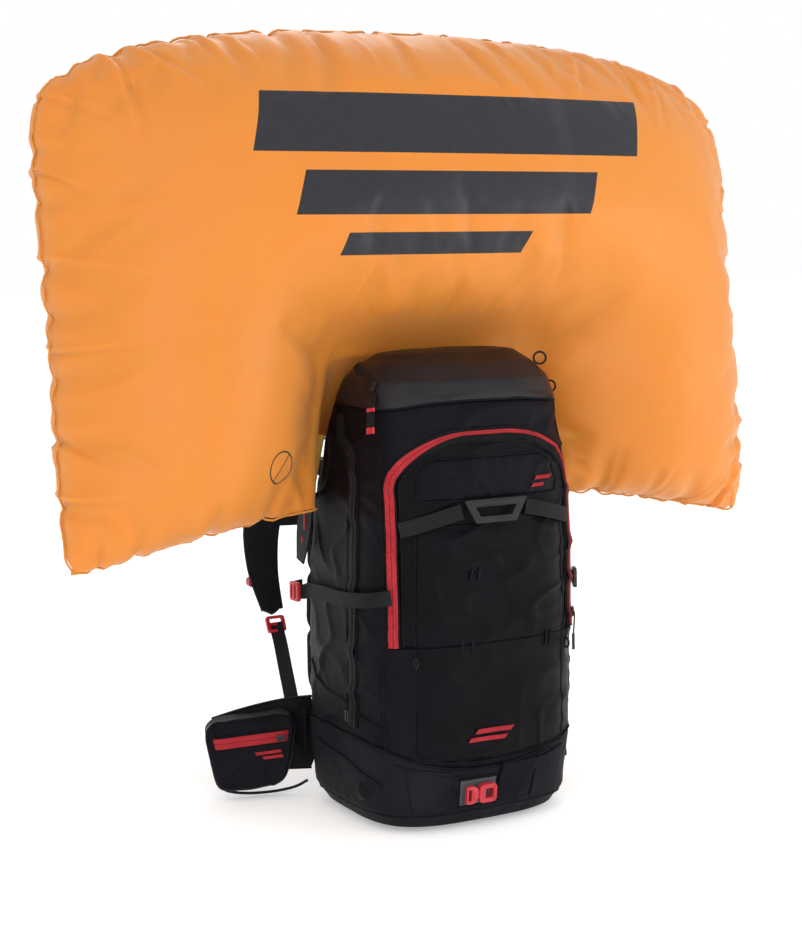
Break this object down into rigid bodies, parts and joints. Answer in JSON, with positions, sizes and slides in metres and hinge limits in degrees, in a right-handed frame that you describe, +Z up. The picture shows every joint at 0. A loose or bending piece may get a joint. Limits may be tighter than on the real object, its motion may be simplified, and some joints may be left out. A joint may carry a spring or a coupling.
{
  "type": "avalanche airbag backpack",
  "caption": "Avalanche airbag backpack with its airbag inflated above it, gas cylinder and jet pump inside, folding front panel, harness and hip belt.",
  "frame": {"origin": "centre of the flat base that the pack stands on", "axes": "+Z up; -Y towards the outer front panel; +Y towards the harness and wearer; -X is the wearer's left"},
  "size_m": [1.0408, 0.4632, 1.03],
  "materials": {
    "pack_fabric": "fine plain-weave nylon with a slight sheen",
    "webbing": "ribbed nylon webbing",
    "foam": "mesh-covered foam",
    "airbag_nylon": "satin coated nylon",
    "zip_red": "coated coil zip tape",
    "zip_black": "coil zip tape",
    "plastic_red": "moulded acetal",
    "plastic_black": "moulded acetal",
    "aluminium": "brushed",
    "brass": "machined",
    "steel": "machined",
    "rubber": "matte",
    "sheet_plastic": "extruded sheet"
  },
  "bodies": {
    "pack": {"air_cylinder": "aluminium", "airbag": "airbag_nylon", "airbag_flap": "pack_fabric", "back_panel": "foam", "base_boot": "pack_fabric", "compression_strap_left": "webbing", "compression_strap_right": "webbing", "cylinder_strap": "webbing", "divider_panel": "pack_fabric", "ejector": "plastic_black", "frame_sheet": "sheet_plastic", "frame_stay_left": "aluminium", "frame_stay_right": "aluminium", "front_buckle_female": "plastic_red", "front_zip": "zip_red", "gear_loop_left": "webbing", "gear_loop_right": "webbing", "inflation_hose": "rubber", "jet_nozzle": "brass", "lid_loop_front": "webbing", "lid_loop_rear": "webbing", "lid_panel": "pack_fabric", "lid_zip": "zip_black", "lower_webbing_left": "webbing", "lower_webbing_right": "webbing", "pack_shell": "pack_fabric", "pressure_gauge": "steel", "side_zip": "zip_black", "trigger_cable": "rubber", "valve_head": "brass"},
    "front_panel": {"front_panel": "pack_fabric", "ski_strap_left": "webbing", "ski_strap_right": "webbing"},
    "front_handle": {"front_handle": "rubber"},
    "front_slider": {"front_zip_slider": "plastic_black"},
    "side_slider": {"side_zip_slider": "plastic_black"},
    "lid_slider": {"lid_zip_slider": "plastic_black", "lid_zip_pull": "zip_red"},
    "front_buckle": {"front_buckle_male": "plastic_red"},
    "haul_handle": {"haul_handle": "webbing"},
    "check_flap": {"check_flap": "rubber"},
    "valve_piston": {"valve_piston": "steel"},
    "trigger": {"trigger_handle": "plastic_red"},
    "lock_left": {"ladder_lock_left": "plastic_red"},
    "lock_right": {"ladder_lock_right": "plastic_black"},
    "shoulder_left": {"shoulder_strap_left": "foam", "trigger_sleeve": "pack_fabric"},
    "shoulder_right": {"shoulder_strap_right": "foam"},
    "strap_lock_left": {"strap_lock_left": "plastic_red"},
    "strap_lock_right": {"strap_lock_right": "plastic_red"},
    "sternum_left": {"sternum_strap_left": "webbing"},
    "sternum_right": {"sternum_strap_right": "webbing"},
    "hip_left": {"hip_wing_left": "foam", "hip_buckle_left": "plastic_black", "hip_pocket": "pack_fabric", "hip_zip": "zip_red", "hip_webbing_loop": "webbing"},
    "hip_right": {"hip_wing_right": "foam", "hip_buckle_right": "plastic_black"},
    "hip_slider": {"hip_zip_slider": "plastic_black"}
  },
  "joints": [
    {"name": "front_panel_hinge", "type": "hinge", "parent": "pack", "child": "front_panel", "pos_m": [0, -0.1375, 0.2484], "axis": [1, 0, 0], "range_deg": [0, 110]},
    {"name": "front_handle_hinge", "type": "hinge", "parent": "front_panel", "child": "front_handle", "pos_m": [0, -0.135, 0.433], "axis": [1, 0, 0], "range_deg": [-60, 0]},
    {"name": "front_slider_slide", "type": "slide", "parent": "pack", "child": "front_slider", "axis": [0, 0.03, 0.9996], "range_m": [0, 0.13]},
    {"name": "side_slider_slide", "type": "slide", "parent": "pack", "child": "side_slider", "axis": [0, 0, 1], "range_m": [0, 0.12]},
    {"name": "lid_slider_slide", "type": "slide", "parent": "pack", "child": "lid_slider", "axis": [-0.0824, 0.8653, 0.4945], "range_m": [0, 0.022]},
    {"name": "hip_slider_slide", "type": "slide", "parent": "hip_left", "child": "hip_slider", "axis": [-0.925, 0.3739, -0.0678], "range_m": [0, 0.075]},
    {"name": "front_buckle_release", "type": "slide", "parent": "pack", "child": "front_buckle", "axis": [-1, 0, 0], "range_m": [0, 0.018]},
    {"name": "haul_handle_hinge", "type": "hinge", "parent": "pack", "child": "haul_handle", "pos_m": [0, 0.1265, 0.432], "axis": [1, 0, 0], "range_deg": [-75, 0]},
    {"name": "check_flap_hinge", "type": "hinge", "parent": "pack", "child": "check_flap", "pos_m": [0, 0.125, 0.5515], "axis": [1, 0, 0], "range_deg": [0, 50]},
    {"name": "valve_piston_slide", "type": "slide", "parent": "pack", "child": "valve_piston", "axis": [0, 0, 1], "range_m": [0, 0.01]},
    {"name": "trigger_pull", "type": "slide", "parent": "shoulder_left", "child": "trigger", "axis": [0, -0.0499, -0.9988], "range_m": [0, 0.05]},
    {"name": "lock_left_tilt", "type": "hinge", "parent": "pack", "child": "lock_left", "pos_m": [-0.168, 0.0905, 0.289], "axis": [0, 0, 1], "range_deg": [0, 35]},
    {"name": "lock_right_tilt", "type": "hinge", "parent": "pack", "child": "lock_right", "pos_m": [0.1625, -0.077, 0.309], "axis": [0, 0, 1], "range_deg": [0, 35]},
    {"name": "shoulder_left_hinge", "type": "hinge", "parent": "pack", "child": "shoulder_left", "pos_m": [-0.068, 0.133, 0.418], "axis": [1, 0, 0], "range_deg": [-12, 10], "deforming": ["lower_webbing_left"]},
    {"name": "strap_lock_left_tilt", "type": "hinge", "parent": "shoulder_left", "child": "strap_lock_left", "pos_m": [-0.1215, 0.261, 0.2195], "axis": [1, 0, 0], "range_deg": [0, 35]},
    {"name": "sternum_left_slide", "type": "slide", "parent": "shoulder_left", "child": "sternum_left", "axis": [0, 0, 1], "range_m": [-0.003, 0.03]},
    {"name": "hip_left_hinge", "type": "hinge", "parent": "pack", "child": "hip_left", "pos_m": [-0.112, 0.138, 0.078], "axis": [0, 0, 1], "range_deg": [-50, 0]},
    {"name": "shoulder_right_hinge", "type": "hinge", "parent": "pack", "child": "shoulder_right", "pos_m": [0.068, 0.133, 0.418], "axis": [1, 0, 0], "range_deg": [-12, 10], "deforming": ["lower_webbing_right"]},
    {"name": "strap_lock_right_tilt", "type": "hinge", "parent": "shoulder_right", "child": "strap_lock_right", "pos_m": [0.1215, 0.261, 0.2195], "axis": [1, 0, 0], "range_deg": [0, 35]},
    {"name": "sternum_right_slide", "type": "slide", "parent": "shoulder_right", "child": "sternum_right", "axis": [0, 0, 1], "range_m": [-0.003, 0.03]},
    {"name": "hip_right_hinge", "type": "hinge", "parent": "pack", "child": "hip_right", "pos_m": [0.112, 0.138, 0.078], "axis": [0, 0, 1], "range_deg": [0, 50]}
  ],
  "couplings": [
    {"joint": "valve_piston_slide", "follows": "trigger_pull", "ratio": 0.2}
  ]
}
